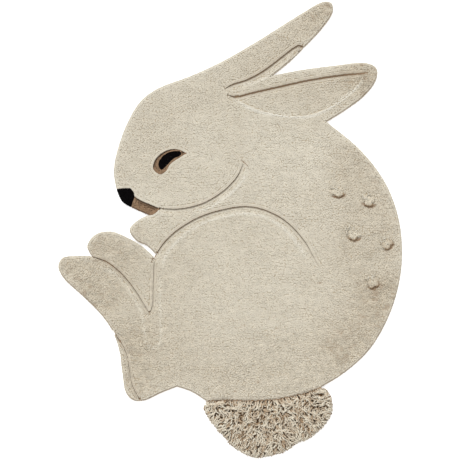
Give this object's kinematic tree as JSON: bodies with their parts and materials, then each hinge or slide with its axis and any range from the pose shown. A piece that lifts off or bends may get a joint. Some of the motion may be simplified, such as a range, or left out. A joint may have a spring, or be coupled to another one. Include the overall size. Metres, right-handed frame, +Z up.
{
  "type": "rabbit shaped kids rug",
  "caption": "Flat cut-pile wool rug in the outline of a curled-up rabbit, with carved lines, inlaid eye, nose and mouth, raised yarn tufts and a shaggy tail.",
  "frame": {"origin": "centre of the rug's bounding box on the floor, at the underside", "axes": "+Z up out of the pile, +Y along the rug's length from the tail towards the ear tips, -X towards the nose"},
  "size_m": [0.902, 1.1978, 0.03],
  "materials": {
    "oatmeal_pile": "sheared wool cut pile, heathered oatmeal, matt",
    "taupe_pile": "sheared wool cut pile, taupe brown, matt",
    "black_pile": "sheared wool cut pile, black, matt",
    "tail_yarn": "long curly twisted wool yarn, heathered oatmeal and brown, matt",
    "tuft_yarn": "short raised wool yarn, cream oatmeal, matt"
  },
  "bodies": {
    "root": {"tufted_body": "oatmeal_pile", "eye_rim": "taupe_pile", "eye_pupil": "black_pile", "nose": "black_pile", "mouth": "taupe_pile", "tail": "tail_yarn", "back_tuft_1": "tuft_yarn", "back_tuft_2": "tuft_yarn", "back_tuft_3": "tuft_yarn", "back_tuft_4": "tuft_yarn", "back_tuft_5": "tuft_yarn"}
  },
  "joints": []
}
